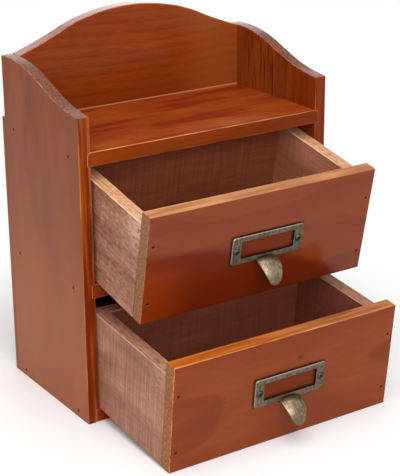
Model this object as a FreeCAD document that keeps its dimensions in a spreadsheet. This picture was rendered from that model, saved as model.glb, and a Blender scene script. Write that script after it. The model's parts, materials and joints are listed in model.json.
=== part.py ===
import FreeCAD, Part
import math
import os
import Sketcher

# Desktop mini drawers: a wooden carcass with a scooped, arched top tray over two inset drawers.
# Millimetres. +X is the right-hand side, -Y the front, +Z up; the origin is the centre of the base.

doc = FreeCAD.newDocument("mini_drawers")
sheet = doc.addObject("Spreadsheet::Sheet", "sizes")
sheet_rows = []


class Linked(float):
    """A number with the spreadsheet formula that it comes from; sums and products keep the formula."""

    def __new__(cls, value, formula):
        number = super().__new__(cls, value)
        number.formula = formula
        return number

    def __add__(self, other):
        return Linked(float(self) + float(other), f"({self.formula} + {formula_of(other)})")

    def __sub__(self, other):
        return Linked(float(self) - float(other), f"({self.formula} - {formula_of(other)})")

    def __rsub__(self, other):
        return Linked(float(other) - float(self), f"({formula_of(other)} - {self.formula})")

    def __mul__(self, other):
        return Linked(float(self) * float(other), f"({self.formula} * {formula_of(other)})")

    def __truediv__(self, other):
        return Linked(float(self) / float(other), f"({self.formula} / {formula_of(other)})")

    def __neg__(self):
        return Linked(-float(self), f"(-1 * {self.formula})")

    __radd__ = __add__
    __rmul__ = __mul__


def formula_of(number):
    return number.formula if isinstance(number, Linked) else f"{float(number):.6f}"


def size(name, value):
    """One named size: it is stored in the spreadsheet and handed back with its formula."""
    sheet_rows.append(name)
    row = len(sheet_rows)
    sheet.set(f"A{row}", name)
    sheet.set(f"B{row}", str(value))
    sheet.setAlias(f"B{row}", name)
    return Linked(value, f"sizes.{name}")


# Carcass boards
carcass_width = size("carcass_width", 250.0)
side_depth = size("side_depth", 133.5)
side_thickness = size("side_thickness", 11.0)
board_thickness = size("board_thickness", 12.2)
opening_height = size("opening_height", 102.3)
housing_depth = size("housing_depth", 3.3)
arris_radius = size("arris_radius", 0.8)
back_panel_thickness = size("back_panel_thickness", 4.3)
back_panel_lap = size("back_panel_lap", 1.3)

# Side panel's scooped top: heights above the shelf at the front and at the crest, and the S-curve
# between them as shares of the panel's depth and of the rise from the front to the crest
side_front_rise = size("side_front_rise", 29.4)
side_crest_rise = size("side_crest_rise", 56.9)
side_back_drop = size("side_back_drop", 0.5)
foot_depth_share = size("foot_depth_share", 0.12)
foot_rise_share = size("foot_rise_share", 0.073)
low_depth_share = size("low_depth_share", 0.375)
low_rise_share = size("low_rise_share", 0.386)
high_depth_share = size("high_depth_share", 0.539)
high_rise_share = size("high_rise_share", 0.68)
crest_depth_share = size("crest_depth_share", 0.906)

# Arched board's top: its ends just under the sides' crests, its rise over them, and where the
# hollow shoulders turn into the crown, as shares of the half width and of that rise
arch_end_drop = size("arch_end_drop", 0.1)
arch_rise = size("arch_rise", 31.8)
arch_turn_spread_share = size("arch_turn_spread_share", 0.579)
arch_turn_rise_share = size("arch_turn_rise_share", 0.604)
arch_hollow_share = size("arch_hollow_share", 0.028)

# Drawer boards, in the drawer's own frame, and their gaps in the opening
front_side_clearance = size("front_side_clearance", 2.0)
front_top_gap = size("front_top_gap", 5.3)
front_thickness = size("front_thickness", 12.2)
box_side_drop = size("box_side_drop", 10.5)
box_side_thickness = size("box_side_thickness", 12.2)
box_rear_gap = size("box_rear_gap", 2.3)
bottom_panel_thickness = size("bottom_panel_thickness", 4.0)
bottom_panel_lift = size("bottom_panel_lift", 3.0)
groove_depth = size("groove_depth", 3.5)
groove_end_clearance = size("groove_end_clearance", 0.2)

# Nails, pins and their holes
nail_radius = size("nail_radius", 0.7)
nail_length = size("nail_length", 25.0)
nail_head_radius = size("nail_head_radius", 1.1)
nail_head_height = size("nail_head_height", 0.8)
nail_sink = size("nail_sink", 0.4)
round_clearance = size("round_clearance", 0.3)
nail_front_inset = size("nail_front_inset", 18.0)
nail_rear_inset = size("nail_rear_inset", 16.5)
front_nail_share = size("front_nail_share", 0.45)
low_nail_height = size("low_nail_height", 17.5)
high_nail_drop = size("high_nail_drop", 16.5)
pin_length = size("pin_length", 14.0)
pin_end_inset = size("pin_end_inset", 20.0)
pin_rows = 4

# Label frame with its finger pull, cast in one
label_width = size("label_width", 71.5)
label_height = size("label_height", 26.0)
label_thickness = size("label_thickness", 2.2)
label_corner_radius = size("label_corner_radius", 2.6)
label_bevel = size("label_bevel", 0.7)
label_stile = size("label_stile", 9.0)
label_rail = size("label_rail", 5.0)
window_rise = size("window_rise", 0.5)
window_corner_radius = size("window_corner_radius", 1.2)
card_slot_depth = size("card_slot_depth", 0.9)
card_slot_margin = size("card_slot_margin", 1.8)
pull_drop = size("pull_drop", 19.0)
pull_reach = size("pull_reach", 20.0)
pull_width = size("pull_width", 20.5)
pull_wall = size("pull_wall", 1.7)
pull_tip_wall_share = size("pull_tip_wall_share", 0.55)
pull_crown = size("pull_crown", 2.4)
pull_lap = size("pull_lap", 3.4)
pull_end_angle = 93.0
pull_turn_shares = (0.0, 0.27, 0.48, 0.67, 0.82, 0.93, 0.99)
pull_rounding_power = 2.45

# Round-head screws of the label frame
screw_inset = size("screw_inset", 4.55)
screw_head_radius = size("screw_head_radius", 2.7)
screw_head_height = size("screw_head_height", 1.5)
screw_dome_share = size("screw_dome_share", 0.25)
screw_shank_radius = size("screw_shank_radius", 1.1)
screw_length = size("screw_length", 9.0)
screw_slot_width = size("screw_slot_width", 0.8)
screw_slot_depth = size("screw_slot_depth", 0.8)
screw_slot_share = size("screw_slot_share", 0.6)

# How much of each drawer is still held inside, its droop and its shift to the right
upper_held_depth = size("upper_held_depth", 64.8)
upper_droop_angle = 11.3
upper_shift = size("upper_shift", 1.2)
upper_label_height = size("upper_label_height", 48.2)
upper_label_offset = size("upper_label_offset", 5.0)
lower_held_depth = size("lower_held_depth", 21.2)
lower_droop_angle = 6.3
lower_shift = size("lower_shift", -1.2)
lower_label_height = size("lower_label_height", 50.6)
lower_label_offset = size("lower_label_offset", 2.6)
edge_clearance = size("edge_clearance", 0.25)

doc.recompute()

# Sizes that follow from the ones above
front_plane = -(side_depth + back_panel_thickness) / 2
inside_half_width = carcass_width / 2 - side_thickness
divider_top = 2 * board_thickness + opening_height
shelf_top = 3 * board_thickness + 2 * opening_height
side_front_height = shelf_top + side_front_rise
side_crest_height = shelf_top + side_crest_rise
arch_end_height = side_crest_height - arch_end_drop
front_width = 2 * (inside_half_width - front_side_clearance)
front_height = opening_height - front_top_gap
box_side_height = front_height - box_side_drop
box_inside_depth = side_depth - front_thickness - box_side_thickness - box_rear_gap
box_inside_width = front_width - 2 * box_side_thickness
box_depth = box_inside_depth + box_side_thickness
nail_hole_radius = nail_radius + round_clearance
nail_head_hole_radius = nail_head_radius + round_clearance
nail_head_hole_depth = nail_sink + nail_head_height + round_clearance
window_width = label_width - 2 * label_stile
window_height = label_height - 2 * label_rail
screw_hole_radius = screw_shank_radius + round_clearance
pick_tolerance = arris_radius / 8

X_AXIS = FreeCAD.Vector(1, 0, 0)
Y_AXIS = FreeCAD.Vector(0, 1, 0)
Z_AXIS = FreeCAD.Vector(0, 0, 1)
FULL_TURN = 360.0
HALF_TURN = 180.0
QUARTER_TURN = 90.0


def place(x=0.0, y=0.0, z=0.0, axis=Z_AXIS, angle=0.0):
    return FreeCAD.Placement(FreeCAD.Vector(x, y, z), FreeCAD.Rotation(axis, angle))


def bind(item, **numbers):
    """Sets properties and ties those that come from the spreadsheet to it."""
    for prop, number in numbers.items():
        setattr(item, prop, float(number))
        if isinstance(number, Linked):
            item.setExpression(prop, number.formula)


def new_sketch(body, name, role, offset=None):
    """A sketch on one of the body's own origin planes, moved off it by a placement if one is given."""
    sketch = body.newObject("Sketcher::SketchObject", name)
    plane = [feature for feature in body.Origin.OriginFeatures if feature.Role == role][0]
    sketch.AttachmentSupport = (plane, [""])
    sketch.MapMode = "FlatFace"
    if offset is not None:
        sketch.AttachmentOffset = offset
    return sketch


def fix_vertex(sketch, geo, pos, across, up):
    """Fixes one corner by its two distances from the sketch's origin."""
    for kind, number, axis in (("DistanceX", across, -2), ("DistanceY", up, -1)):
        if number == 0:
            sketch.addConstraint(Sketcher.Constraint("PointOnObject", geo, pos, axis))
            continue
        index = sketch.addConstraint(Sketcher.Constraint(kind, -1, 1, geo, pos, float(number)))
        sketch.setExpression(f"Constraints[{index}]", formula_of(number))


def outline(sketch, corners, bends=None):
    """A closed outline; bends gives the sagitta, to the left, of the stretch that starts at a corner."""
    bends = bends or {}
    count = len(corners)
    points = [FreeCAD.Vector(across, up, 0) for across, up in corners]
    ends = []
    for i in range(count):
        a, b = points[i], points[(i + 1) % count]
        if i not in bends:
            ends.append((sketch.addGeometry(Part.LineSegment(a, b), False), 1, 2))
            continue
        along = (b - a).normalize()
        left = FreeCAD.Vector(-along.y, along.x, 0)
        geo = sketch.addGeometry(Part.Arc(a, (a + b) * 0.5 + left * bends[i], b), False)
        starts_at_a = sketch.getPoint(geo, 1).distanceToPoint(a) < pick_tolerance
        ends.append((geo, 1, 2) if starts_at_a else (geo, 2, 1))
        sketch.addConstraint(Sketcher.Constraint("Radius", geo, sketch.Geometry[geo].Radius))
    for i in range(count):
        here, there = ends[i], ends[(i + 1) % count]
        sketch.addConstraint(Sketcher.Constraint("Coincident", here[0], here[2], there[0], there[1]))
    for i, (across, up) in enumerate(corners):
        fix_vertex(sketch, ends[i][0], ends[i][1], across, up)


def rectangle(sketch, half_width, bottom, top):
    outline(sketch, [(-half_width, bottom), (half_width, bottom), (half_width, top), (-half_width, top)])


def pad(body, sketch, length):
    solid = body.newObject("PartDesign::Pad", body.Name + "_pad")
    solid.Profile = sketch
    bind(solid, Length=length)
    return solid


def soften(body, solid, wanted, amount=arris_radius, kind="Fillet"):
    """Rounds or bevels the edges of a solid that wanted(edge) picks."""
    doc.recompute()
    names = [f"Edge{i + 1}" for i, edge in enumerate(solid.Shape.Edges) if wanted(edge)]
    dressed = body.newObject(f"PartDesign::{kind}", f"{body.Name}_{kind.lower()}")
    dressed.Base = (solid, names)
    if kind == "Fillet":
        bind(dressed, Radius=amount)
    else:
        bind(dressed, Size=amount)
    return dressed


def near(a, b):
    return abs(a - b) < pick_tolerance


def slab(name, length, width, height, wanted=None):
    """A board: length along X about the middle, width along Y from 0, height along Z from 0."""
    body = doc.addObject("PartDesign::Body", name)
    sketch = new_sketch(body, name + "_outline", "XY_Plane")
    rectangle(sketch, length / 2, 0, width)
    solid = pad(body, sketch, height)
    if wanted is not None:
        solid = soften(body, solid, wanted)
    body.Tip = solid
    doc.recompute()
    return body


def box_tool(name, length, width, height, corner):
    """A rectangular cutter with its lowest corner at a point."""
    tool = doc.addObject("Part::Box", name)
    bind(tool, Length=length, Width=width, Height=height)
    tool.Placement = place(*corner)
    return tool


def rod(name, radius, length, placement):
    """A cylinder from the placement's origin along its Z."""
    item = doc.addObject("Part::Cylinder", name)
    bind(item, Radius=radius, Height=length)
    item.Placement = placement
    return item


def fused(name, items):
    if len(items) == 1:
        return items[0]
    item = doc.addObject("Part::MultiFuse", name)
    item.Shapes = items
    return item


def cut(name, base, tools):
    item = doc.addObject("Part::Cut", name)
    item.Base = base
    item.Tool = fused(name + "_cutters", tools)
    return item


def nail(name, seat, length=nail_length):
    """A nail whose head lies nail_sink below seat; seat's Z points into the wood."""
    down = seat.multiply(place(z=nail_sink))
    head = rod(name + "_head", nail_head_radius, nail_head_height, down)
    shank = rod(name + "_shank", nail_radius, length, down)
    return fused(name, [head, shank])


def nail_hole(name, seat, length=nail_length):
    """The hole for a nail: a wide mouth for the head, then a narrow bore for the shank."""
    mouth = rod(name + "_mouth", nail_head_hole_radius, nail_head_hole_depth, seat)
    bore = rod(name + "_bore", nail_hole_radius, nail_sink + length + round_clearance, seat)
    return [mouth, bore]


nodes = {}


def keep(name, item, placement=None):
    """Makes an object one of the handed-over pieces, at its place in the part."""
    item.Label = name
    if placement is not None:
        item.Placement = placement
    nodes[name] = item
    return item


def group(name, items, placement=None):
    """Like fixings of one kind, kept as separate solids in one node."""
    bundle = doc.addObject("Part::Compound", name)
    bundle.Links = items
    return keep(name, bundle, placement)


# Nail seats on the outside of the carcass, one pair per board at the front and one at the rear.
# Each seat is in the part's frame with its Z into the wood.
board_tops = {"shelf": shelf_top, "divider": divider_top, "bottom": board_thickness}
nail_seats = {}
for board, top in board_tops.items():
    height = top - board_thickness / 2
    for end, depth in (("front", nail_front_inset), ("rear", side_depth - nail_rear_inset)):
        for side in (-1, 1):
            face = side * carcass_width / 2
            inwards = -side * QUARTER_TURN
            nail_seats[board, end, side] = place(face, front_plane + depth, height, Y_AXIS, inwards)

# Seats of the pins that hold the thin back panel to the rear edges of the side panels
back_panel_height = shelf_top + back_panel_lap
back_plane = front_plane + side_depth + back_panel_thickness
pin_seats = []
for side in (-1, 1):
    across = side * (carcass_width / 2 - (side_thickness - housing_depth) / 2)
    for i in range(pin_rows):
        height = pin_end_inset + i * (back_panel_height - 2 * pin_end_inset) / (pin_rows - 1)
        pin_seats.append(place(across, back_plane, height, X_AXIS, QUARTER_TURN))


# Side panels: upright boards, scooped along the top, housed for the three level boards
def turned_sag(a, b, turn):
    """Sagitta of the arc from a to b that turns through an angle."""
    return math.dist(a, b) / 2 * math.tan(math.radians(turn) / 4)


def slope(a, b):
    return math.degrees(math.atan2(b[1] - a[1], b[0] - a[0]))


def side_panel(name, side):
    body = doc.addObject("PartDesign::Body", name + "_board")
    sketch = new_sketch(body, name + "_outline", "YZ_Plane")
    scoop_rise = side_crest_height - side_front_height
    front = (0, side_front_height)
    foot = (side_depth * foot_depth_share, side_front_height + scoop_rise * foot_rise_share)
    low = (side_depth * low_depth_share, side_front_height + scoop_rise * low_rise_share)
    high = (side_depth * high_depth_share, side_front_height + scoop_rise * high_rise_share)
    crest = (side_depth * crest_depth_share, side_crest_height)
    rear = (side_depth, side_crest_height - side_back_drop)
    corners = [(0, 0), (side_depth, 0), rear, crest, high, low, foot, front]

    # each arc turns by what the slopes beside it leave: the foot's, the straight middle's, the crest's
    bends = {
        2: turned_sag(rear, crest, 2 * slope(crest, rear)),
        3: -turned_sag(crest, high, slope(low, high)),
        5: turned_sag(low, foot, slope(low, high) - slope(front, foot)),
    }
    outline(sketch, corners, bends)
    solid = pad(body, sketch, side_thickness)

    def rim(edge):
        return near(edge.BoundBox.XLength, 0) and not near(edge.CenterOfMass.z, 0)

    body.Tip = soften(body, solid, rim)
    doc.recompute()
    inner = 0 if side > 0 else side_thickness - housing_depth
    tools = []
    for board, top in board_tops.items():
        corner = (inner, 0, top - board_thickness)
        tools.append(box_tool(f"{name}_{board}_housing", housing_depth, side_depth, board_thickness, corner))
    left_face = inside_half_width if side > 0 else -carcass_width / 2
    placement = place(left_face, front_plane, 0)
    back = placement.inverse()
    for (board, end, which), seat in nail_seats.items():
        if which == side:
            tools += nail_hole(f"{name}_{board}_{end}", back.multiply(seat))
    for i, seat in enumerate(pin_seats):
        if seat.Base.x * side > 0:
            tools += nail_hole(f"{name}_pin_{i}", back.multiply(seat), pin_length)
    keep(name, cut(name, body, tools), placement)


side_panel("left_side_panel", -1)
side_panel("right_side_panel", 1)


# Level boards: top shelf, divider and bottom, housed between the sides
def front_arrises(edge):
    return near(edge.CenterOfMass.y, 0) and edge.BoundBox.XLength > edge.BoundBox.ZLength


def level_board(name, board):
    housed_width = 2 * (inside_half_width + housing_depth)
    body = slab(name + "_board", housed_width, side_depth, board_thickness, front_arrises)
    placement = place(0, front_plane, board_tops[board] - board_thickness)
    back = placement.inverse()
    tools = []
    for (which, end, side), seat in nail_seats.items():
        if which == board:
            tools += nail_hole(f"{name}_{end}_{'left' if side < 0 else 'right'}", back.multiply(seat))
    keep(name, cut(name, body, tools), placement)


level_board("top_shelf", "shelf")
level_board("divider_shelf", "divider")
level_board("bottom_board", "bottom")


# Arched back board: stands on the shelf between the sides, flush with their rear edges
def arched_board(name):
    body = doc.addObject("PartDesign::Body", name)
    sketch = new_sketch(body, name + "_outline", "XZ_Plane")
    turn_spread = inside_half_width * arch_turn_spread_share
    turn_height = arch_end_height + arch_rise * arch_turn_rise_share
    corners = [
        (-inside_half_width, shelf_top),
        (inside_half_width, shelf_top),
        (inside_half_width, arch_end_height),
        (turn_spread, turn_height),
        (-turn_spread, turn_height),
        (-inside_half_width, arch_end_height),
    ]
    hollow = arch_rise * arch_hollow_share
    crown = arch_end_height + arch_rise - turn_height
    outline(sketch, corners, {2: hollow, 3: -crown, 4: hollow})
    solid = pad(body, sketch, board_thickness)

    def top_arrises(edge):
        above_foot = edge.CenterOfMass.z > shelf_top + board_thickness
        return above_foot and edge.BoundBox.XLength > board_thickness

    body.Tip = soften(body, solid, top_arrises)
    keep(name, body, place(0, front_plane + side_depth, 0))


arched_board("arched_back_board")

# Thin lower back panel: pinned over the rear edges, up to just above the shelf
panel_body = slab("lower_back_panel_board", carcass_width, back_panel_thickness, back_panel_height)
placement = place(0, front_plane + side_depth, 0)
tools = []
for i, seat in enumerate(pin_seats):
    tools += nail_hole(f"back_panel_pin_{i}", placement.inverse().multiply(seat), pin_length)
keep("lower_back_panel", cut("lower_back_panel", panel_body, tools), placement)
group("back_panel_pins", [nail(f"pin_{i}", seat, pin_length) for i, seat in enumerate(pin_seats)])

# Carcass nails. The front and rear pairs of the divider and the bottom board are nodes of their own.
for node, wanted in (
    ("shelf_nails", [("shelf", "front"), ("shelf", "rear")]),
    ("divider_front_nails", [("divider", "front")]),
    ("divider_rear_nails", [("divider", "rear")]),
    ("bottom_front_nails", [("bottom", "front")]),
    ("bottom_rear_nails", [("bottom", "rear")]),
):
    items = []
    for (board, end, side), seat in nail_seats.items():
        if (board, end) in wanted:
            items.append(nail(f"{node}_{end}_{'left' if side < 0 else 'right'}", seat))
    group(node, items)


# Label frame: a flat casting with a window, and a finger pull that curves out and down from it.
# Its own frame has X to the right, Y up and Z out of the drawer front; the origin is its centre.
def upright(edge):
    return near(edge.BoundBox.XLength, 0) and near(edge.BoundBox.YLength, 0)


def outer_front_rim(edge):
    return near(edge.CenterOfMass.z, label_thickness) and near(edge.BoundBox.ZLength, 0)


def window_corners(edge):
    middle = edge.CenterOfMass
    inside = abs(middle.y) < label_height / 2 - label_rail / 2
    return upright(edge) and inside and near(abs(middle.x), window_width / 2)


def finger_pull(body, name):
    """Crescent sections turned about a line below the plate, narrowing along a rounded tongue."""
    centre_height = pull_lap - label_height / 2 - pull_drop
    sections = []
    for i, turn_share in enumerate(pull_turn_shares):
        turn = pull_end_angle * turn_share
        angle = math.radians(turn)
        radius = pull_drop / math.hypot(math.cos(angle), math.sin(angle) * pull_drop / pull_reach)
        width_share = math.sqrt(1 - turn_share ** pull_rounding_power)
        sketch = new_sketch(body, f"{name}_pull_{i}", "XY_Plane", place(0, centre_height, 0, X_AXIS, turn))
        half = pull_width * width_share / 2
        crown = pull_crown * width_share ** 2
        wall = pull_wall * (pull_tip_wall_share + (1 - pull_tip_wall_share) * width_share)
        outer = radius - crown
        corners = [(-half, outer - wall), (half, outer - wall), (half, outer), (-half, outer)]
        outline(sketch, corners, {0: crown, 2: -crown})
        sections.append(sketch)
    pull = body.newObject("PartDesign::AdditiveLoft", name + "_pull")
    pull.Profile = sections[0]
    pull.Sections = sections[1:]
    return pull


def pocket(body, sketch):
    """A cut from the back of the plate outwards."""
    opening = body.newObject("PartDesign::Pocket", sketch.Name + "_opening")
    opening.Profile = sketch
    opening.Reversed = True
    return opening


def label_frame(name):
    body = doc.addObject("PartDesign::Body", name + "_body")
    plate = new_sketch(body, name + "_plate", "XY_Plane")
    rectangle(plate, label_width / 2, -label_height / 2, label_height / 2)
    solid = pad(body, plate, label_thickness)
    solid = soften(body, solid, upright, label_corner_radius)
    solid = soften(body, solid, outer_front_rim, label_bevel, "Chamfer")

    window = new_sketch(body, name + "_window", "XY_Plane")
    top = window_rise + window_height / 2
    bottom = window_rise - window_height / 2
    rectangle(window, window_width / 2, bottom, top)
    opening = pocket(body, window)
    opening.Type = "ThroughAll"
    soften(body, opening, window_corners, window_corner_radius)

    # a shallow slot behind the window takes a slip of card
    card = new_sketch(body, name + "_card", "XY_Plane")
    rectangle(card, window_width / 2 + card_slot_margin, bottom - card_slot_margin, top + card_slot_margin)
    bind(pocket(body, card), Length=card_slot_depth)
    doc.recompute()
    body.Tip = finger_pull(body, name)
    doc.recompute()
    return body


# Round-head screw: its own Z points out of the drawer front, the origin is under its head
def screw(name, placement):
    body = doc.addObject("PartDesign::Body", name)
    sketch = new_sketch(body, name + "_profile", "XZ_Plane")
    corners = [
        (0, -screw_length),
        (screw_shank_radius, -screw_length),
        (screw_shank_radius, 0),
        (screw_head_radius, 0),
        (0, screw_head_height),
    ]
    outline(sketch, corners, {3: -screw_head_height * screw_dome_share})
    turned = body.newObject("PartDesign::Revolution", name + "_turned")
    turned.Profile = sketch
    turned.ReferenceAxis = (sketch, ["V_Axis"])
    turned.Angle = FULL_TURN
    body.Tip = turned
    doc.recompute()
    slots = []
    slot_length = 2 * screw_head_radius * screw_slot_share
    for i, turn in enumerate((QUARTER_TURN / 2, -QUARTER_TURN / 2)):
        slot = box_tool(f"{name}_slot_{i}", slot_length, screw_slot_width, screw_head_height, (0, 0, 0))
        centred = place(-slot_length / 2, -screw_slot_width / 2, screw_head_height - screw_slot_depth)
        slot.Placement = place(axis=Z_AXIS, angle=turn).multiply(centred)
        slots.append(slot)
    item = cut(name + "_slotted", body, slots)
    item.Placement = placement
    return item


# One drawer. Its own frame has its origin at the bottom of the front board's back, in the middle,
# X to the right, Y back into the carcass and Z up; pose puts that frame into the part.
def all_but_bottom(edge):
    return not near(edge.CenterOfMass.z, 0)


def box_top_arrises(edge):
    long_ways = max(edge.BoundBox.XLength, edge.BoundBox.YLength) > box_side_thickness + pick_tolerance
    return near(edge.CenterOfMass.z, box_side_height) and long_ways


def drawer(word, pose, label_offset, label_centre):
    groove_width = box_inside_width + 2 * groove_depth
    heights = (low_nail_height, box_side_height - high_nail_drop)
    sides = ((-1, "left"), (1, "right"))
    front_seats = []
    back_seats = []
    for side, hand in sides:
        across = side * (front_width / 2 - box_side_thickness * front_nail_share)
        middle = box_inside_depth + box_side_thickness / 2
        for height in heights:
            front_seats.append(place(across, -front_thickness, height, X_AXIS, -QUARTER_TURN))
            back_seats.append(place(side * front_width / 2, middle, height, Y_AXIS, -side * QUARTER_TURN))
    label_place = place(label_offset, -front_thickness, label_centre, X_AXIS, QUARTER_TURN)
    screw_spots = [(side * (label_width / 2 - screw_inset), 0) for side, hand in sides]
    screw_seats = [label_place.multiply(place(x, y, label_thickness)) for x, y in screw_spots]

    # front board: covers the ends of the sides and stands higher than they do
    body = slab(word + "_front", front_width, front_thickness, front_height, all_but_bottom)
    placement = place(0, -front_thickness, 0)
    back = placement.inverse()
    corner = (-groove_width / 2, front_thickness - groove_depth, bottom_panel_lift)
    tools = [box_tool(word + "_front_groove", groove_width, groove_depth, bottom_panel_thickness, corner)]
    for i, seat in enumerate(front_seats):
        tools += nail_hole(f"{word}_front_hole_{i}", back.multiply(seat))
    for i, seat in enumerate(screw_seats):
        inwards = back.multiply(seat).multiply(place(axis=X_AXIS, angle=HALF_TURN))
        bore_length = screw_length + round_clearance
        tools.append(rod(f"{word}_screw_bore_{i}", screw_hole_radius, bore_length, inwards))
    keep(word + "_front_board", cut(word + "_front_board", body, tools), pose.multiply(placement))

    # the two sides, grooved for the bottom panel
    for side, hand in sides:
        body = slab(f"{word}_{hand}", box_side_thickness, box_depth, box_side_height, box_top_arrises)
        placement = place(side * (front_width - box_side_thickness) / 2, 0, 0)
        back = placement.inverse()
        groove_x = -box_side_thickness / 2 if side > 0 else box_side_thickness / 2 - groove_depth
        groove_length = box_inside_depth + groove_depth
        corner = (groove_x, 0, bottom_panel_lift)
        groove = f"{word}_{hand}_groove"
        tools = [box_tool(groove, groove_depth, groove_length, bottom_panel_thickness, corner)]
        for i, seat in enumerate(front_seats + back_seats):
            if seat.Base.x * side > 0:
                tools += nail_hole(f"{word}_{hand}_hole_{i}", back.multiply(seat))
        node = f"{word}_{hand}_side"
        keep(node, cut(node, body, tools), pose.multiply(placement))

    # back board, between the sides
    body = slab(word + "_back", box_inside_width, box_side_thickness, box_side_height, box_top_arrises)
    placement = place(0, box_inside_depth, 0)
    corner = (-box_inside_width / 2, 0, bottom_panel_lift)
    tools = [box_tool(word + "_back_groove", box_inside_width, groove_depth, bottom_panel_thickness, corner)]
    for i, seat in enumerate(back_seats):
        tools += nail_hole(f"{word}_back_hole_{i}", placement.inverse().multiply(seat))
    keep(word + "_back_board", cut(word + "_back_board", body, tools), pose.multiply(placement))

    # thin bottom panel, let into the grooves
    tongue = groove_depth - groove_end_clearance
    panel = slab(
        word + "_bottom",
        box_inside_width + 2 * tongue,
        box_inside_depth + 2 * tongue,
        bottom_panel_thickness,
    )
    keep(word + "_bottom_panel", panel, pose.multiply(place(0, -tongue, bottom_panel_lift)))

    # nails through the front into the sides, and through the sides into the back board
    for node, seats in ((word + "_front_nails", front_seats), (word + "_back_nails", back_seats)):
        group(node, [nail(f"{node}_{i}", seat) for i, seat in enumerate(seats)], pose)

    # label frame and its two screws
    casting = label_frame(word + "_label_frame")
    holes = []
    for i, (x, y) in enumerate(screw_spots):
        holes.append(rod(f"{word}_label_hole_{i}", screw_hole_radius, label_thickness, place(x, y, 0)))
    keep(word + "_label_frame", cut(word + "_label_frame", casting, holes), pose.multiply(label_place))
    screws = [screw(f"{word}_screw_{i}", seat) for i, seat in enumerate(screw_seats)]
    group(word + "_frame_screws", screws, pose)


def drooped(held_depth, shift, rest_height, droop):
    """The pose of a drawer whose underside lies on the front edge of the board under it."""
    pull_out = box_depth - held_depth
    foot = rest_height + edge_clearance - pull_out * math.tan(math.radians(droop))
    return place(shift, front_plane - pull_out, foot, X_AXIS, droop)


upper_pose = drooped(upper_held_depth, upper_shift, divider_top, upper_droop_angle)
lower_pose = drooped(lower_held_depth, lower_shift, board_thickness, lower_droop_angle)
drawer("upper", upper_pose, upper_label_offset, upper_label_height)
drawer("lower", lower_pose, lower_label_offset, lower_label_height)

doc.recompute()
for item in doc.Objects:
    faults = [state for state in item.State if state in ("Invalid", "Error")]
    if faults:
        raise RuntimeError(f"{item.Name} is {faults}")
os.makedirs("parts", exist_ok=True)
for name, item in nodes.items():
    shape = item.Shape
    if shape.isNull() or not shape.isValid():
        raise RuntimeError(f"{name} has no valid shape")
    shape.exportStep(f"parts/{name}.step")
    box = shape.BoundBox
    spans = ((box.XMin, box.XMax), (box.YMin, box.YMax), (box.ZMin, box.ZMax))
    reach = " ".join(f"{low:7.1f} {high:7.1f}" for low, high in spans)
    print(f"{name:24s} solids {len(shape.Solids)} volume {shape.Volume:11.1f} x y z {reach}")
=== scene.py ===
import json
import math

import bpy
from mathutils import Matrix, Vector


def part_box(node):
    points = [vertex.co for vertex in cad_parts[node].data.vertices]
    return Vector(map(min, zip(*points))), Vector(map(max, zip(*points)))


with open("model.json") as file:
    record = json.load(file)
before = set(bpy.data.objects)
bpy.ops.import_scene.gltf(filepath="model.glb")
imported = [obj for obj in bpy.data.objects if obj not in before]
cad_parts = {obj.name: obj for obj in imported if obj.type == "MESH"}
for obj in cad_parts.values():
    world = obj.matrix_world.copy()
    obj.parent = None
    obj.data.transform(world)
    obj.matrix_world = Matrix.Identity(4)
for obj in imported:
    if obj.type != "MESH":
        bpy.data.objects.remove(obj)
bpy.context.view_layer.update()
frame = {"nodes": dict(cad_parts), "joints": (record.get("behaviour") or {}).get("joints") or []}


# Side panels: two upright boards of a plain softwood, scooped along the top, stained red-brown and lacquered.
# Their grain runs upright, and their arrises are rubbed pale, with a painted highlight along them.
class Shade:
    """A socket among a material's nodes. Sums, products and powers of shades add its Math nodes."""

    def __init__(self, tree, socket=None):
        self.tree = tree
        self.socket = socket

    def node(self, kind, settings=None, sockets=None, output=0):
        """Adds one node: its settings come first, then the values or links of its sockets."""
        made = self.tree.nodes.new("ShaderNode" + kind)
        for name, value in (settings or {}).items():
            if name != "stops":
                setattr(made, name, value)
                continue
            ramp = made.color_ramp
            while len(ramp.elements) < len(value):
                ramp.elements.new(0.5)
            for element, (position, colour) in zip(ramp.elements, value):
                element.position = position
                element.color = colour
        for name, value in (sockets or {}).items():
            if isinstance(value, Shade):
                self.tree.links.new(value.socket, made.inputs[name])
            else:
                made.inputs[name].default_value = value
        return Shade(self.tree, made.outputs[output]) if made.outputs else None

    def maths(self, operation, first, second=0.0):
        return self.node("Math", {"operation": operation}, {0: first, 1: second})

    def __add__(self, other):
        return self.maths("ADD", self, other)

    def __sub__(self, other):
        return self.maths("SUBTRACT", self, other)

    def __rsub__(self, other):
        return self.maths("SUBTRACT", other, self)

    def __mul__(self, other):
        return self.maths("MULTIPLY", self, other)

    def __pow__(self, other):
        return self.maths("POWER", self, other)

    __radd__ = __add__
    __rmul__ = __mul__

    def ramped(self, low, high):
        """0 below low and 1 above high, smooth between; low may be the larger one."""
        limits = {"Value": self, "From Min": low, "From Max": high}
        return self.node("MapRange", {"interpolation_type": "SMOOTHSTEP"}, limits)

    def tinted(self, plain, full):
        """One colour where this shade is 0 and another where it is 1."""
        return self.node("Mix", {"data_type": "RGBA"}, {0: self, 6: plain, 7: full}, output=2)

    def dot(self, way):
        return self.node("VectorMath", {"operation": "DOT_PRODUCT"}, {0: self, 1: way}, output=1)


def stain(code):
    """A colour written as six hexadecimal digits, turned into shares of linear light."""
    parts = [int(code[i:i + 2], 16) / 255 for i in (0, 2, 4)]
    return tuple(p / 12.92 if p <= 0.04045 else ((p + 0.055) / 1.055) ** 2.4 for p in parts) + (1.0,)


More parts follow.
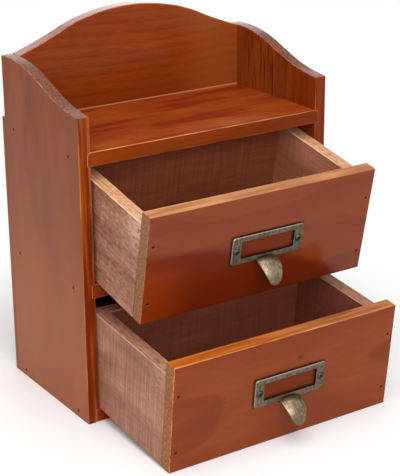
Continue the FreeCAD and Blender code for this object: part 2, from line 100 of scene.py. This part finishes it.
class Board:
    """The shades that every board's finish is mixed from. lie gives the ways in which the grain runs,
    the board's width and its thickness; seed is where in the log the board was cut."""

    def __init__(self, name, lie, seed):
        self.material = bpy.data.materials.new(name)
        self.material.use_nodes = True
        self.material.node_tree.nodes.clear()
        self.start = Shade(self.material.node_tree)
        self.seed = seed
        spot = self.start.node("TexCoord", output=3)
        facing = self.start.node("TexCoord", output=1)
        self.along, self.across, self.through = [spot.dot(way) for way in lie]
        self.end_facing, self.edge_facing, self.flat_facing = [facing.dot(way) for way in lie]
        self.place = self.start.node("CombineXYZ", {}, {0: self.along, 1: self.across, 2: self.through})

    def fibres(self, length, width, detail=2.0, shift=0.0):
        """Streaks drawn out along the grain, of a length and width in metres, around 0.5. Each set
        has its own shift, so that no two of them run together."""
        scale = (1 / length, 1 / width, 1 / width)
        origin = (self.seed * 3.1 + shift, self.seed * 7.7 - shift, self.seed + shift)
        sockets = {0: self.place, 1: scale, 2: origin}
        stretched = self.place.node("VectorMath", {"operation": "MULTIPLY_ADD"}, sockets)
        return self.place.node("TexNoise", {}, {"Vector": stretched, "Scale": 1.0, "Detail": detail})

    def rings(self, heart_across, heart_through, ring_width, sway):
        """Late wood of the growth rings, 0 to 1, round a heart that wanders along the log."""
        wander = (self.fibres(0.26, 0.09, 1.0, 4.0) - 0.5) * sway
        aside = self.across - heart_across
        away = self.through - heart_through
        radius = (aside * aside + away * away) ** 0.5 + wander
        share = self.start.maths("FRACT", radius * (1 / ring_width))
        return share.ramped(0.35, 0.9) * share.ramped(1.0, 0.93)

    def arris(self):
        """1 on the rounded arrises, where the surface turns from one face to the next."""
        turn = self.start.maths("ABSOLUTE", self.flat_facing)
        return turn.ramped(0.12, 0.35) * turn.ramped(0.99, 0.93)

    def coat(self, polish):
        """The lacquer's weight: polish gives it for the faces, the long edges and the end grain."""
        ways = (self.flat_facing, self.edge_facing, self.end_facing)
        return sum(way * way * weight for way, weight in zip(ways, polish))

    def surfaced(self, surface, relief, depth, strength=1.0):
        """Joins a surface's colour and gloss with its relief, of a depth in metres, into the material."""
        bump = {"Strength": strength, "Distance": depth, "Height": relief}
        surface["Normal"] = self.start.node("Bump", {}, bump)
        shader = self.start.node("BsdfPrincipled", {}, surface)
        self.start.node("OutputMaterial", {}, {"Surface": shader})
        return self.material

    def finished(self, colour, roughness, grain, depth, coat, coat_roughness, sheen=0.1):
        """A wooden surface under a coat of lacquer; depth is that of its grain."""
        surface = {
            "Base Color": colour,
            "Roughness": roughness,
            "Specular IOR Level": sheen,
            "Coat Weight": coat,
            "Coat Roughness": coat_roughness,
            "Coat IOR": 1.5,
        }
        return self.surfaced(surface, grain, depth)


def lacquered(
    name, lie, seed, tones, heart, polish,
    figure=0.15, streak=0.35, fleck=0.3, blotch=0.4, wear_and_highlight=0.6, extra=None,
):
    """Stained and lacquered board. tones are its deep, middle and light colours and that of its arrises,
    which are worn pale and carry a painted highlight; figure, streak, fleck and blotch are how strongly its
    rings, fibres, fine dashes and clouds show. extra changes the colour and coat where this board differs
    from the plain finish."""
    deep, middle, light, bare_and_highlit = [stain(code) for code in tones]
    board = Board(name, lie, seed)
    rings = board.rings(*heart)
    broad = board.fibres(0.21, 0.022, 2.0)
    narrow = board.fibres(0.075, 0.0024, 3.0, 9.0)
    hair = board.fibres(0.018, 0.0006, 2.0, 17.0)
    cloud = board.fibres(0.05, 0.016, 2.0, 23.0)
    share = 0.5 + (broad - 0.5) * 1.3 * streak + (narrow - 0.5) * 1.1 * streak
    share = share + (cloud - 0.5) * 2.0 * blotch + (0.32 - rings) * figure
    share = share + (board.fibres(0.011, 0.0015, 2.0, 13.0) - 0.5) * 2.0 * fleck
    stops = [(0.12, deep), (0.5, middle), (0.9, light)]
    colour = board.start.node("ValToRGB", {"stops": stops}, {0: share})
    pores = hair.ramped(0.36, 0.24)
    colour = (pores * 0.25).tinted(colour, deep)
    coat = board.coat(polish)
    if extra is not None:
        colour, coat = extra(board, colour, coat)
    # The arrises are painted pale: partly wear, partly a highlight along them.
    worn_and_highlit = board.arris() * board.fibres(0.03, 0.004, 2.0, 31.0).ramped(0.25, 0.75) * wear_and_highlight
    colour = worn_and_highlit.tinted(colour, bare_and_highlit)
    roughness = 0.5 + (narrow - 0.5) * 0.2
    grain = narrow * 0.6 + hair * 0.4 - pores * 0.5
    coat = coat - worn_and_highlit * 0.2
    return board.finished(colour, roughness, grain, depth=0.00012, coat=coat, coat_roughness=0.14, sheen=0.05)


def dress(node, material):
    """Gives a CAD piece its finish."""
    piece = frame["nodes"][node]
    piece.data.materials.clear()
    piece.data.materials.append(material)


UPRIGHT = ((0, 0, 1), (0, 1, 0), (1, 0, 0))
side_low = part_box("left_side_panel")[0]
shelf_low, shelf_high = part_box("top_shelf")


def red_streaks(board, colour, pale):
    """The front edge drank the stain unevenly: dark red runs between lighter orange ones."""
    front = board.edge_facing.ramped(-0.6, -0.9)
    # Below the shelf the runs are darker: painted shade of the drawers.
    shade_below_shelf = board.along.ramped(shelf_low.z, shelf_low.z - 0.07)
    runs = board.fibres(0.07, 0.0035, 2.0, 61.0) + shade_below_shelf * 0.17
    edge = runs.ramped(0.40, 0.72).tinted(stain(pale), stain("641602"))
    return (front * 0.9).tinted(colour, edge)


def sawn_top_with_painted_sheen(board, colour, dark, pale):
    """Saw-mottled end grain on the scooped top, greyed by a painted reflection of the white tent."""
    scoop = board.end_facing.ramped(0.3, 0.6)
    mottled = board.fibres(0.003, 0.0018, 3.0, 65.0).ramped(0.32, 0.68).tinted(stain(dark), stain(pale))
    return (scoop * 0.85).tinted(colour, mottled)


def left_panel(board, colour, coat):
    """The panel is lighter towards its foot, and its lacquer is thinner towards the top."""
    foot = board.along.ramped(0.25, 0.05)
    colour = (foot * 0.45).tinted(colour, stain("ad6128"))
    colour = sawn_top_with_painted_sheen(board, colour, "532c1f", "80533f")
    return red_streaks(board, colour, "9a4a12"), coat * (1.0 - board.along.ramped(0.20, 0.30) * 0.35)


def right_panel(board, colour, coat):
    """Short dark runs stand in the middle of its inner face, and its front part is a deeper red."""
    runs = board.fibres(0.040, 0.0022, 2.0, 51.0).ramped(0.52, 0.64)
    middle_zone = board.across.ramped(0.050, 0.030) * board.across.ramped(-0.045, -0.005)
    inner = board.flat_facing.ramped(-0.5, -0.9)
    colour = (runs * middle_zone * inner * 0.75).tinted(colour, stain("35100a"))
    front_zone = board.across.ramped(side_low.y + 0.05, side_low.y + 0.01)
    colour = (front_zone * 0.5).tinted(colour, stain("701c03"))
    colour = sawn_top_with_painted_sheen(board, colour, "4e2417", "7f4a35")
    return red_streaks(board, colour, "7c3208"), coat


side_tones = ("632607", "823a0b", "9a4c1a", "d98f5e")
side_polish = (0.38, 0.12, 0.32)
for node, seed, heart, fleck, wear_and_highlight, extra in (
    ("left_side_panel", 1.7, (-0.02, 0.09, 0.011, 0.018), 0.12, 0.6, left_panel),
    ("right_side_panel", 4.2, (0.03, 0.05, 0.007, 0.03), 0.3, 0.35, right_panel),
):
    finish = lacquered(
        node, UPRIGHT, seed, side_tones, heart, side_polish,
        streak=0.22, fleck=fleck, blotch=0.2, wear_and_highlight=wear_and_highlight, extra=extra,
    )
    dress(node, finish)


# Arched back board: one board on its long edge behind the tray, with its grain level and the
# same stain and lacquer. A bare line shows where its foot meets the shelf.
def bare_foot(board, colour, coat):
    """The stain is deeper near the foot and paler to the right."""
    low = board.across.ramped(shelf_high.z + 0.05, shelf_high.z)
    colour = (low * 0.35).tinted(colour, stain("5f1c03"))
    right = board.along.ramped(0.03, 0.09)
    colour = (right * 0.4).tinted(colour, stain("9a5228"))
    line_width = 0.0014
    line = board.across.ramped(shelf_high.z + line_width, shelf_high.z + 0.0006)
    return (line * 0.7).tinted(colour, stain("c98758")), coat


STANDING = ((1, 0, 0), (0, 0, 1), (0, 1, 0))
arch_tones = ("602402", "7f3102", "92440d", "d99c6c")
arch_heart = (0.42, 0.03, 0.009, 0.02)
arch = lacquered(
    "arched_back_board", STANDING, 2.3, arch_tones, arch_heart, (0.2, 0.7, 0.3),
    streak=0.2, fleck=0.2, blotch=0.15, extra=bare_foot,
)
dress("arched_back_board", arch)


# Level boards: the tray's floor, the divider and the bottom, housed between the sides. Their grain runs from
# side to side, and their front arrises are rubbed almost bare, with a painted highlight along them.
LENGTHWAYS = ((1, 0, 0), (0, 1, 0), (0, 0, 1))
corner_radius = 0.0045
end_line_width = 0.0011


def level_figure(board, colour, coat, edge_tones, rounded_top):
    """Deep red flames lie along the face. The front edge is even and darker to the right, with a pale line
    round its left end, partly wear and partly a painted highlight. Above the corners' centres the shelf's
    ends look rounded."""
    flames = board.fibres(0.10, 0.018, 2.0, 71.0).ramped(0.50, 0.60)
    face = board.start.maths("ABSOLUTE", board.flat_facing).ramped(0.5, 0.9)
    colour = (flames * face * 0.8).tinted(colour, stain("7c1c01"))
    front = board.edge_facing.ramped(-0.5, -0.9)
    even = board.fibres(0.05, 0.003, 2.0, 75.0).tinted(stain(edge_tones[0]), stain(edge_tones[1]))
    colour = (front * 0.8).tinted(colour, even)
    colour = (front * board.along.ramped(-0.02, 0.08) * 0.35).tinted(colour, stain("551602"))
    aside = board.start.maths("ABSOLUTE", board.along) - (shelf_high.x - corner_radius)
    aside = board.start.maths("MAXIMUM", aside, 0.0)
    above = board.start.maths("MAXIMUM", board.through - (rounded_top - corner_radius), 0.0)
    away = (aside * aside + above * above) ** 0.5
    front_or_rear = board.start.maths("ABSOLUTE", board.edge_facing)
    beyond = away.ramped(corner_radius, corner_radius + 0.0003) * front_or_rear
    colour = beyond.tinted(colour, stain("8a3a0c"))
    end = away.ramped(corner_radius - end_line_width, corner_radius - 0.0004) * (1.0 - beyond)
    end = end * aside.ramped(0.0, 0.0012) * (1.0 - board.along.ramped(-0.05, 0.05) * 0.7)
    return (end * front * 0.6).tinted(colour, stain("c98450")), coat


level_tones = ("742c0a", "8e3b10", "a34d1a", "e09a62")
level_polish = (0.5, 0.07, 0.2)
for node, seed, edge_tones, rounded in (
    ("top_shelf", 5.5, ("8c3a05", "6c2502"), True),
    ("divider_shelf", 8.1, ("8a2e08", "651b03"), False),
    ("bottom_board", 3.9, ("8a2e08", "651b03"), False),
):
    heart = (-0.01 + seed * 0.004, 0.5, 0.012, 0.03)
    rounded_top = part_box(node)[1].z + (0.0 if rounded else corner_radius)

    def ends(board, colour, coat, edge_tones=edge_tones, rounded_top=rounded_top):
        return level_figure(board, colour, coat, edge_tones, rounded_top)

    finish = lacquered(node, LENGTHWAYS, seed, level_tones, heart, level_polish, wear_and_highlight=0.8, extra=ends)
    dress(node, finish)


# Lower back panel: a sheet of thin veneered ply, pinned over the rear edges of the boards to keep the
# carcass square. It was stained with the rest, but hardly polished.
def veneer(name, lie, seed, tones):
    """Veneer peeled from the log: broad soft flames, short dark pores and a dull stain."""
    deep, middle, light = [stain(code) for code in tones]
    board = Board(name, lie, seed)
    flames = board.rings(heart_across=0.0, heart_through=0.6, ring_width=0.02, sway=0.05)
    broad = board.fibres(0.17, 0.03, 2.0)
    narrow = board.fibres(0.05, 0.0016, 3.0, 9.0)
    dashes = board.fibres(0.009, 0.0007, 1.0, 15.0).ramped(0.35, 0.27)
    share = 0.5 + (broad - 0.5) * 0.5 + (narrow - 0.5) * 0.6 - flames * 0.09
    stops = [(0.1, deep), (0.5, middle), (0.9, light)]
    colour = board.start.node("ValToRGB", {"stops": stops}, {0: share})
    colour = (dashes * 0.5).tinted(colour, deep)
    roughness = 0.6 + (narrow - 0.5) * 0.2
    grain = narrow - dashes * 0.5
    return board.finished(colour, roughness, grain, depth=0.0001, coat=0.15, coat_roughness=0.3)


back_tones = ("6b3a26", "8f5536", "a96d48")
dress("lower_back_panel", veneer("lower_back_panel", UPRIGHT, 6.4, back_tones))


# Nails and pins: drawn steel wire with flat heads, driven just below the surface of the wood. They
# have gone dark and dull, with small spots of rust.
def dull_steel(name, seed):
    """Dark steel with rust in round spots about a millimetre across."""
    board = Board(name, LENGTHWAYS, seed)
    spots = board.fibres(0.0012, 0.0012, 3.0)
    rust = spots.ramped(0.5, 0.68)
    colour = rust.tinted(stain("19110c"), stain("27120a"))
    surface = {
        "Base Color": colour,
        "Metallic": 0.05,
        "Roughness": 0.7 + spots * 0.3,
        "Specular IOR Level": 0.06,
    }
    return board.surfaced(surface, spots, depth=0.00005)


steel = dull_steel("nail_steel", 1.0)
for node in frame["nodes"]:
    if node.endswith("_nails") or node.endswith("_pins"):
        dress(node, steel)


# Drawer boxes: sides and back of planed softwood with a thin dull stain, nailed round a bottom of thin
# ply. Each drawer is tipped forward over the front edge of the board under it, and the slide's axis
# is the drawer's own length, so its boards are laid out along that.
def drawer_ways(word):
    """The drawer's rightward, rearward and upward ways in the resting pose."""
    axis = [joint["axis"] for joint in frame["joints"] if joint["name"] == word + "_drawer_slide"][0]
    rear = Vector(axis).normalized()
    right = Vector((1, 0, 0))
    return tuple(right), tuple(rear), tuple(right.cross(rear))


def reach(node, way):
    """The least and greatest distance of a CAD piece along a way."""
    steps = [Vector(way).dot(vertex.co) for vertex in frame["nodes"][node].data.vertices]
    return min(steps), max(steps)


def raw_box(node, lie, seed, tones, inside, lit_inner_tones, top_tones, saw_share, mottle, rubbed):
    """Box board: the face inside the drawer, where inside is 1 or -1, takes its own redder tones, painted
    light that lifts the shade inside the drawer, and the top edge is pale. saw_share, mottle and rubbed are
    how strongly the saw's upright marks, the uneven stain and the pale patch at the upper front corner show."""
    deep, middle, light = [stain(code) for code in tones]
    lit_inner_deep, lit_inner_light = [stain(code) for code in lit_inner_tones]
    top_deep, top_light, bare_and_highlit = [stain(code) for code in top_tones]
    board = Board(node, lie, seed)
    rings = board.rings(heart_across=0.02, heart_through=0.2, ring_width=0.010, sway=0.03)
    broad = board.fibres(0.11, 0.018, 2.0)
    narrow = board.fibres(0.03, 0.0015, 3.0, 9.0)
    hair = board.fibres(0.010, 0.0005, 2.0, 17.0)
    saw = board.fibres(0.0013, 0.06, 2.0, 29.0)
    cloud = board.fibres(0.006, 0.003, 4.0, 23.0)
    share = 0.5 + (broad - 0.5) * 0.6 + (narrow - 0.5) * (0.7 - saw_share) - rings * 0.12
    share = share + (cloud - 0.5) * 2.0 * mottle + (saw - 0.5) * 2.0 * saw_share
    stops = [(0.1, deep), (0.5, middle), (0.9, light)]
    colour = board.start.node("ValToRGB", {"stops": stops}, {0: share})
    pores = hair.ramped(0.38, 0.27)
    colour = (pores * 0.4).tinted(colour, deep)
    # Painted light: the inside face takes its own redder tones, which lift the shade inside the drawer.
    inner = (board.flat_facing * inside).ramped(0.6, 0.95)
    shaded = (narrow * 0.3 + broad * 0.4 + saw * 0.3).ramped(0.25, 0.75)
    colour = inner.tinted(colour, shaded.tinted(lit_inner_deep, lit_inner_light))
    top = board.edge_facing.ramped(0.5, 0.9)
    pale = (cloud * 0.5 + narrow * 0.5).ramped(0.32, 0.68)
    colour = top.tinted(colour, pale.tinted(top_deep, top_light))
    front_end = reach(node, lie[0])[0]
    top_edge = reach(node, lie[1])[1]
    rubbed_length, rubbed_height = 0.030, 0.040
    corner = board.along.ramped(front_end + rubbed_length, front_end + 0.003)
    corner = corner * board.across.ramped(top_edge - rubbed_height, top_edge)
    corner = corner * cloud.ramped(0.32, 0.5) * (1.0 - inner)
    colour = (corner * rubbed).tinted(colour, stain("dcb49c"))
    # The arrises are painted pale: partly wear, partly a highlight along them.
    worn_and_highlit = board.arris() * board.fibres(0.02, 0.004, 2.0, 31.0).ramped(0.2, 0.6)
    colour = (worn_and_highlit * 0.7).tinted(colour, bare_and_highlit)
    roughness = 0.62 + (narrow - 0.5) * 0.2
    grain = narrow * 0.5 + hair * 0.3 + saw * 0.3 - pores * 0.4
    return board.finished(colour, roughness, grain, depth=0.00018, coat=0.12, coat_roughness=0.35)


drawer_seeds = {"upper": 11.0, "lower": 27.0}
box_tones = {"upper": ("704536", "a17059", "c39a7c"), "lower": ("7b4d3b", "a2705a", "c4977e")}
box_top_tones = {"upper": ("a97350", "e2ab80", "f6d4b0"), "lower": ("845440", "b07d64", "d9a78c")}
# The inside faces' tones are painted light that lifts the shade inside the drawers.
lit_inner_side_tones = {"upper": ("9b5740", "ca8769"), "lower": ("7d3f2f", "a65e4a")}
lit_inner_back_tones = {"upper": ("6f3620", "98543a"), "lower": ("7c402b", "a35d44")}
box_marks = {"upper": (0.15, 0.5), "lower": (0.5, 0.2)}
rubbed_corners = {"upper": 0.7, "lower": 0.3}
bottom_tones = ("5c3626", "7d5140", "966a55")
for word, seed in drawer_seeds.items():
    right, rear, up = drawer_ways(word)
    side = ((rear, up, right), lit_inner_side_tones[word], rubbed_corners[word])
    back = ((right, up, rear), lit_inner_back_tones[word], 0.0)
    for piece, apart, inside, (lie, inner, rubbed) in (
        ("left_side", 2.0, 1.0, side),
        ("right_side", -2.0, -1.0, side),
        ("back_board", 5.0, -1.0, back),
    ):
        node = f"{word}_{piece}"
        tones = (box_tones[word], inside, inner, box_top_tones[word])
        dress(node, raw_box(node, lie, seed + apart, *tones, *box_marks[word], rubbed))
    node = word + "_bottom_panel"
    dress(node, veneer(node, (right, rear, up), seed + 7.0, bottom_tones))


# Drawer fronts: boards of the carcass's wood with its stain and lacquer, nailed over the ends of the sides.
# Their top edges took less stain and their ends a duller brown. On the upper one a painted dark reflection
# covers the lower left, where its coat is thinner. Painted shade lies round the label frames and in their
# windows.
plate_height = 0.026
window_width, window_height, window_rise = 0.0535, 0.016, 0.0005
painted_shade_width = 0.0022
knot_radius, knot_aside, knot_rise = 0.005, 0.010, 0.0095


def painted_dark_reflection(board, colour, coat, left_end, right_end, bottom, top):
    """Painted dark reflection on the upper front's lower left; its ragged border falls to the right."""
    along = (board.along - left_end) * (1 / (right_end - left_end))
    down = (top - board.across) * (1 / (top - bottom))
    ragged = (board.fibres(0.05, 0.02, 2.0, 81.0) - 0.5) * 0.1
    field = down - 0.33 - along * along * 0.75 - along * 0.05 + ragged
    # An orange glow along the border near the left end is part of the painted reflection.
    glow = field.ramped(0.02, 0.30) * board.along.ramped(left_end + 0.055, left_end + 0.005)
    tone = glow.tinted(stain("601a01"), stain("7c2804"))
    colour = ((field + along * 0.07).ramped(0.0, 0.12) * 0.9).tinted(colour, tone)
    # The coat is thinned where the dark reflection is painted.
    return colour, coat * (1.0 - field.ramped(-0.02, 0.13) * 0.75)


def knotted(board, colour, label_middle, label_centre):
    """A small sound knot in the lower front, above its label frame."""
    aside = board.along - (label_middle + knot_aside)
    above = (board.across - (label_centre + plate_height / 2 + knot_rise)) * 1.4
    away = (aside * aside + above * above) ** 0.5
    return (away.ramped(knot_radius, 0.001) * 0.6).tinted(colour, stain("4a1306"))


def round_label(board, colour, coat, label_middle, label_half, label_centre):
    """The coat is thin behind the label frame; painted shade lies round it and in its window."""
    sideways = board.start.maths("ABSOLUTE", board.along - label_middle)
    upward = board.across - label_centre
    beside, above = sideways - label_half, board.start.maths("ABSOLUTE", upward) - plate_height / 2
    away = board.start.maths("MAXIMUM", beside, above)
    coat = coat * (1.0 - away.ramped(0.0006, -0.002) * 0.7)
    beside = sideways - window_width / 2
    above = board.start.maths("ABSOLUTE", upward - window_rise) - window_height / 2
    corners = board.start.maths("MAXIMUM", beside, above).ramped(-0.0024, -0.0006)
    # Painted shade: a halo round the plate, and the window darkened, most of all along its edges.
    painted_shade = away.ramped(painted_shade_width, 0.0) * (0.5 + corners * 0.4)
    return painted_shade.tinted(colour, stain("54190a")), coat


def bare_edges(board, colour, top_tones, end_tones, bottom, top, back):
    """The paler top edge, the dull ends, and the dark seam where the side butts against the board."""
    near_deep, near_light, far_deep, far_light = [stain(code) for code in top_tones]
    pale = board.fibres(0.06, 0.004, 3.0, 41.0).ramped(0.3, 0.7)
    near, far = pale.tinted(near_deep, near_light), pale.tinted(far_deep, far_light)
    upper_edge = board.edge_facing.ramped(0.55, 0.9)
    colour = upper_edge.tinted(colour, board.along.ramped(-0.08, 0.06).tinted(near, far))
    end = board.start.maths("ABSOLUTE", board.end_facing).ramped(0.6, 0.95)
    dull = board.fibres(0.01, 0.002, 3.0, 45.0).ramped(0.3, 0.7)
    colour = (end * 0.9).tinted(colour, dull.tinted(stain(end_tones[0]), stain(end_tones[1])))
    seam = board.through.ramped(back - 0.0012, back - 0.0004) * board.across.ramped(top, bottom)
    return (end * seam).tinted(colour, stain("3a1608"))


front_tones = {
    "upper": ("651d02", "783008", "8c4012", "c98a5e"),
    "lower": ("692403", "7c3307", "944612", "d98d55"),
}
front_polish = {"upper": (0.46, 0.1, 0.1), "lower": (0.32, 0.1, 0.1)}
front_figure = {"upper": 0.12, "lower": 0.2}
front_wear_and_highlight = {"upper": 0.3, "lower": 0.9}
front_top_tones = {
    "upper": ("a0683c", "c98b5c", "9a6038", "c38557"),
    "lower": ("a04a12", "c46c28", "8c4e28", "b87640"),
}
front_end_tones = {"upper": ("7c5236", "a0714e"), "lower": ("85502f", "a56d48")}
for word, seed in drawer_seeds.items():
    right, rear, up = drawer_ways(word)
    node = word + "_front_board"
    span, rise, thickness = [reach(node, way) for way in (right, up, rear)]
    label_left, label_right = reach(word + "_label_frame", right)
    label_top = reach(word + "_label_frame", up)[1]
    label = ((label_left + label_right) / 2, (label_right - label_left) / 2, label_top - plate_height / 2)

    def front_finish(board, colour, coat, word=word, span=span, rise=rise, back=thickness[1], label=label):
        if word == "upper":
            colour, coat = painted_dark_reflection(board, colour, coat, *span, *rise)
        else:
            colour = knotted(board, colour, label[0], label[2])
        colour, coat = round_label(board, colour, coat, *label)
        return bare_edges(board, colour, front_top_tones[word], front_end_tones[word], *rise, back), coat

    front = lacquered(
        node, (right, up, rear), seed, front_tones[word], (0.05, 0.4, 0.014, 0.05), front_polish[word],
        figure=front_figure[word], streak=front_figure[word], fleck=0.1, blotch=0.12,
        wear_and_highlight=front_wear_and_highlight[word], extra=front_finish,
    )
    dress(node, front)


# Label frames with their finger pulls: brass castings, blackened and then rubbed back, so that the hollows
# stay dark and the rims shine, with painted shade in the deepest of them. Two round-head screws of the same
# brass hold each one.
screw_rise = 0.0105  # from the plate's foot to the screw heads' lowest point
screw_hollow = 0.0023


def aged_brass(word, seed):
    """Brass with rubbed patches about the size of a grain of rice and fine upright brushing."""
    right, rear, up = drawer_ways(word)
    board = Board(word + "_brass", (right, up, rear), seed)
    face = reach(word + "_front_board", rear)[0]
    left_end, right_end = reach(word + "_label_frame", right)
    first_screw, last_screw = reach(word + "_frame_screws", right)
    screw_foot, screw_top = reach(word + "_frame_screws", up)
    screw_radius = (screw_top - screw_foot) / 2
    cast = board.fibres(0.0025, 0.0025, 4.0)
    patches = board.fibres(0.010, 0.010, 3.0, 5.0)
    brushed = board.fibres(0.0008, 0.02, 2.0, 8.0)
    rubbed = (cast * 0.4 + patches * 0.25 + brushed * 0.35).ramped(0.40, 0.60)
    facing = board.start.maths("ABSOLUTE", board.flat_facing)
    rim = facing.ramped(0.2, 0.5) * facing.ramped(0.97, 0.88)
    plate = (rubbed * 0.4 + rim * 0.6 + 0.12).tinted(stain("463d34"), stain("9a8e7a"))
    from_middle = board.start.maths("ABSOLUTE", board.along - (left_end + right_end) / 2)
    inside = from_middle.ramped((right_end - left_end) / 2 - 0.004, 0.0).ramped(0.0, 0.05)
    plate_foot = screw_foot - screw_rise
    # Painted shade: the window's inner walls go nearly black.
    painted_wall_shade = facing.ramped(0.35, 0.1) * inside * board.across.ramped(plate_foot, plate_foot + 0.003)
    plate = (painted_wall_shade * 0.9).tinted(plate, stain("17120d"))
    pull = rubbed.tinted(stain("64563f"), stain("8f8067"))
    pull_side = board.start.maths("ABSOLUTE", board.end_facing).ramped(0.6, 0.9)
    pull = (pull_side * 0.7).tinted(pull, stain("b9ad92"))
    proud = (face - board.through).ramped(0.0021, 0.0045)
    # The crease where the pull leaves the plate is darkened: partly patina, partly painted shade.
    crease_patina_and_shade = proud.ramped(0.0, 0.15) * proud.ramped(0.7, 0.3)
    colour = (crease_patina_and_shade * 0.6).tinted(proud.tinted(plate, pull), stain("2b241c"))
    # Painted shade in the crevice round each screw head and in the slot at its centre, which isn't modelled.
    painted_screw_shade = 0.0
    for centre in (first_screw + screw_radius, last_screw - screw_radius):
        aside = board.along - centre
        above = board.across - (screw_foot + screw_radius)
        away = (aside * aside + above * above) ** 0.5
        outer = away.ramped(screw_radius + 0.0010, screw_radius + 0.0004)
        painted_screw_shade = away.ramped(screw_radius - 0.0004, screw_radius) * outer + painted_screw_shade
        painted_screw_shade = away.ramped(screw_hollow, 0.0016) + painted_screw_shade
    surface = {
        "Base Color": (painted_screw_shade * 0.95).tinted(colour, stain("120e0a")),
        "Metallic": 0.95 - painted_screw_shade * 0.7,
        "Roughness": 0.46 - rubbed * 0.06 - proud * 0.08 + painted_screw_shade * 0.3,
    }
    return board.surfaced(surface, cast, depth=0.00008, strength=0.8)


for word, seed in (("upper", 2.0), ("lower", 6.0)):
    brass = aged_brass(word, seed)
    dress(word + "_label_frame", brass)
    dress(word + "_frame_screws", brass)


# Studio: pale paper on the table that fades into white, a white tent all round, and four soft lamps.
# The far paper and the tent are full white only where they are seen or mirrored, so they don't
# wash out the wood.
half_floor = 6.0
corners = [(-half_floor, -half_floor, 0), (half_floor, -half_floor, 0)]
corners += [(half_floor, half_floor, 0), (-half_floor, half_floor, 0)]
floor_mesh = bpy.data.meshes.new("floor")
floor_mesh.from_pydata(corners, [], [(0, 1, 2, 3)])
floor = bpy.data.objects.new("floor", floor_mesh)
bpy.context.scene.collection.objects.link(floor)

WHITE = (1.0, 1.0, 1.0, 1.0)


def seen_or_mirrored(start):
    """1 for rays from the camera, from gloss and through glass."""
    return sum(start.node("LightPath", output=ray) for ray in (0, 3, 6))


paper = bpy.data.materials.new("paper")
paper.use_nodes = True
paper.node_tree.nodes.clear()
start = Shade(paper.node_tree)
spot = start.node("TexCoord", output=3)
distance = spot.node("VectorMath", {"operation": "LENGTH"}, {0: spot}, output=1)
plain = start.node("BsdfDiffuse", {}, {"Color": (0.93, 0.93, 0.93, 1.0)})
glow = start.node("Emission", {}, {"Color": WHITE, "Strength": 1.0})
fade = distance.ramped(0.16, 0.36) * seen_or_mirrored(start)
start.node("OutputMaterial", {}, {"Surface": start.node("MixShader", {}, {0: fade, 1: plain, 2: glow})})
floor.data.materials.append(paper)

world = bpy.data.worlds.new("tent")
world.use_nodes = True
world.node_tree.nodes.clear()
start = Shade(world.node_tree)
dim = start.node("Background", {}, {"Color": WHITE, "Strength": 0.42})
white = start.node("Background", {}, {"Color": WHITE, "Strength": 1.0})
mixed = start.node("MixShader", {}, {0: seen_or_mirrored(start), 1: dim, 2: white})
start.node("OutputWorld", {}, {"Surface": mixed})
bpy.context.scene.world = world

aim = Vector((0.0, -0.05, 0.15))
for name, place, width, power in (
    ("overhead_softbox", (-0.3, -0.4, 1.5), 1.2, 12.0),
    ("front_softbox", (-0.5, -1.7, 1.1), 1.4, 22.0),
    ("left_softbox", (-1.3, -0.9, 0.7), 1.0, 3.0),
    ("rear_softbox", (0.8, 1.6, 0.7), 1.2, 7.0),
):
    lamp = bpy.data.lights.new(name, "AREA")
    lamp.size = width
    lamp.energy = power
    box = bpy.data.objects.new(name, lamp)
    box.location = place
    box.rotation_euler = (aim - Vector(place)).to_track_quat("-Z", "Y").to_euler()
    bpy.context.scene.collection.objects.link(box)


# Camera: a long lens over a metre off, to the left of the object and above it, tipped down by twenty
# degrees. Its place and focal length give the photograph's framing.
turn, tilt, roll = math.radians(-33.24), math.radians(-19.90), math.radians(-0.51)
focal_pixels = 1403.11
picture_width, picture_height = 400, 476
centre_x, centre_y = 198.77, 231.92
eye = Vector((-0.63426, -1.02043, 0.56392))
ahead = Vector((-math.sin(turn) * math.cos(tilt), math.cos(turn) * math.cos(tilt), math.sin(tilt)))
level = Vector((math.cos(turn), math.sin(turn), 0))
upright = level.cross(ahead)
rightward = level * math.cos(roll) + upright * math.sin(roll)
upward = upright * math.cos(roll) - level * math.sin(roll)
lens = bpy.data.cameras.new("camera")
lens.lens = focal_pixels * lens.sensor_width / picture_height
lens.shift_x = (picture_width / 2 - centre_x) / picture_height
lens.shift_y = (centre_y - picture_height / 2) / picture_height
camera = bpy.data.objects.new("camera", lens)
camera.matrix_world = Matrix.Translation(eye) @ Matrix((rightward, upward, -ahead)).transposed().to_4x4()
bpy.context.scene.collection.objects.link(camera)
bpy.context.scene.camera = camera
bpy.context.scene.view_settings.view_transform = "Standard"
